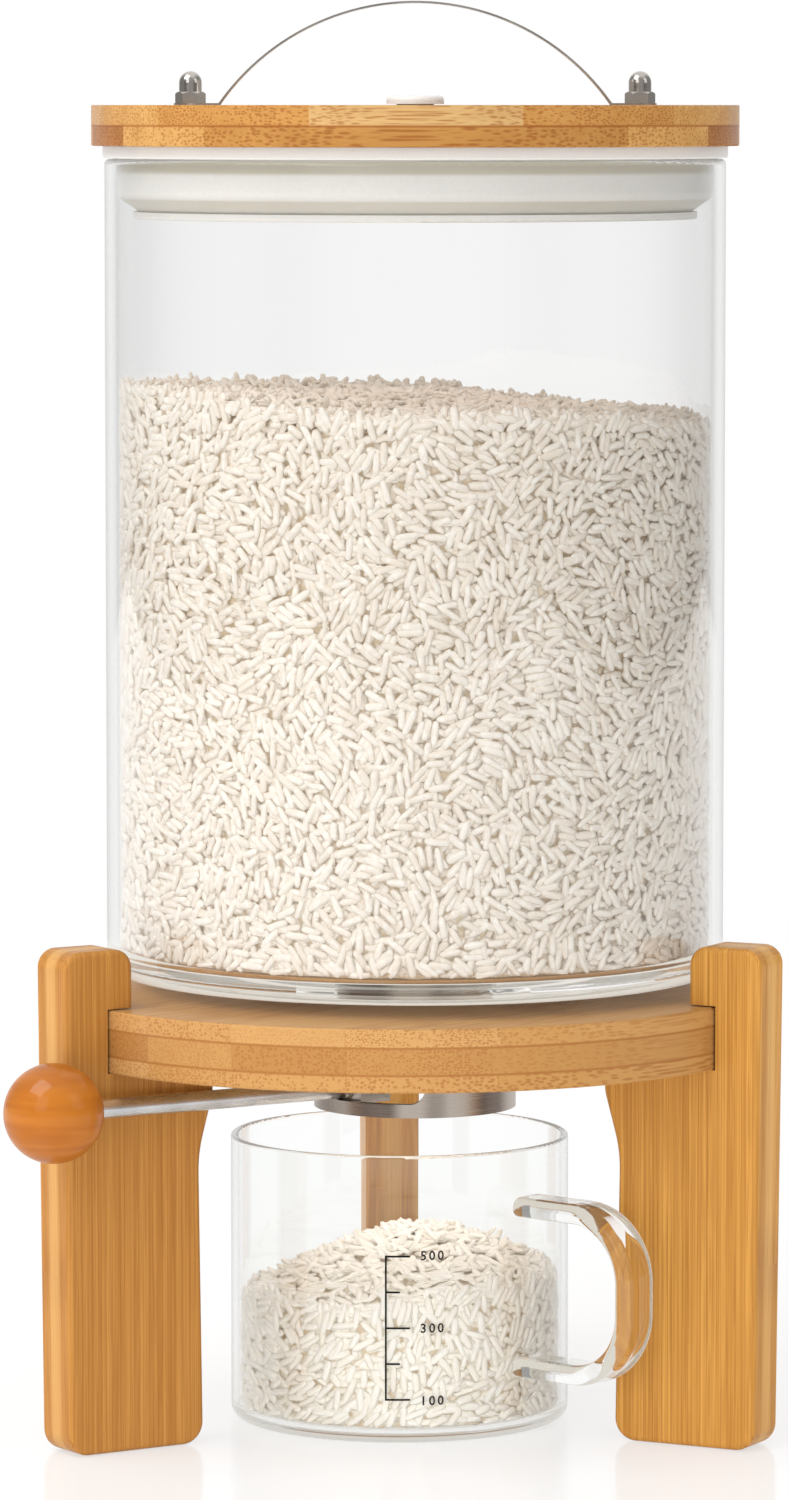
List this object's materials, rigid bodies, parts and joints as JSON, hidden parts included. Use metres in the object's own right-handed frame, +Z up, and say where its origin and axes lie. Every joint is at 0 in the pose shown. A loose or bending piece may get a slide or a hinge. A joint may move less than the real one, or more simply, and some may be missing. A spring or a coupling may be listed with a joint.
{
  "type": "glass rice dispenser",
  "caption": "Glass grain jar with a bamboo lid on a bamboo stand; a swinging lever under it opens an outlet valve above a glass measuring cup.",
  "frame": {"origin": "middle of the footprint's bounding rectangle, on the surface that the dispenser stands on", "axes": "+Z up, front (the cup's scale and the lever's closed place) towards -Y, +X to the right"},
  "size_m": [0.2444, 0.247, 0.4576],
  "materials": {
    "leg_bamboo": "satin lacquered bamboo",
    "platform_bamboo": "satin lacquered bamboo",
    "lid_bamboo": "satin lacquered bamboo",
    "dowel_wood": "plain",
    "varnished_wood": "gloss varnish",
    "jar_glass": "clear",
    "cup_glass": "clear",
    "clear_silicone": "translucent",
    "white_silicone": "matt",
    "brushed_steel": "brushed",
    "rod_steel": "drawn",
    "strap_steel": "brushed",
    "bright_steel": "polished",
    "nylon": "plain",
    "scale_print": "screen print",
    "rice": "loose grain"
  },
  "bodies": {
    "stand": {"leg_left": "leg_bamboo", "leg_right": "leg_bamboo", "leg_back": "leg_bamboo", "platform_top_ply": "platform_bamboo", "platform_middle_ply": "platform_bamboo", "platform_bottom_ply": "platform_bamboo", "leg_dowels": "dowel_wood", "jar_pad": "clear_silicone", "outlet_tube": "brushed_steel", "pivot_screw": "bright_steel", "pivot_washer": "nylon", "pivot_nut": "bright_steel", "glass_jar": "jar_glass", "inner_gasket": "clear_silicone", "outer_gasket": "clear_silicone", "valve_body": "brushed_steel", "rice_fill": "rice"},
    "lever": {"gate_disc": "brushed_steel", "lever_rod": "rod_steel", "lever_ball": "varnished_wood"},
    "lid": {"lid_top_board": "lid_bamboo", "lid_lower_board": "lid_bamboo", "lid_plug_board": "lid_bamboo", "lid_seal": "white_silicone", "lid_handle": "strap_steel", "handle_nuts": "bright_steel", "handle_screws": "bright_steel"},
    "vent": {"vent_plug": "white_silicone"},
    "cup": {"cup_glass": "cup_glass", "cup_handle": "cup_glass", "cup_scale": "scale_print", "rice_heap": "rice"}
  },
  "joints": [
    {"name": "lever_swing", "type": "hinge", "parent": "stand", "child": "lever", "pos_m": [0.00604, -0.00802, 0.1132], "axis": [0, 0, 1], "range_deg": [0, 47]},
    {"name": "lid_lift", "type": "slide", "parent": "stand", "child": "lid", "axis": [0, 0, 1], "range_m": [0, 0.08]},
    {"name": "vent_pull", "type": "slide", "parent": "lid", "child": "vent", "axis": [0, 0, 1], "range_m": [0, 0.014]},
    {"name": "cup_slide", "type": "slide", "parent": "stand", "child": "cup", "axis": [0, -1, 0], "range_m": [0, 0.16]}
  ]
}
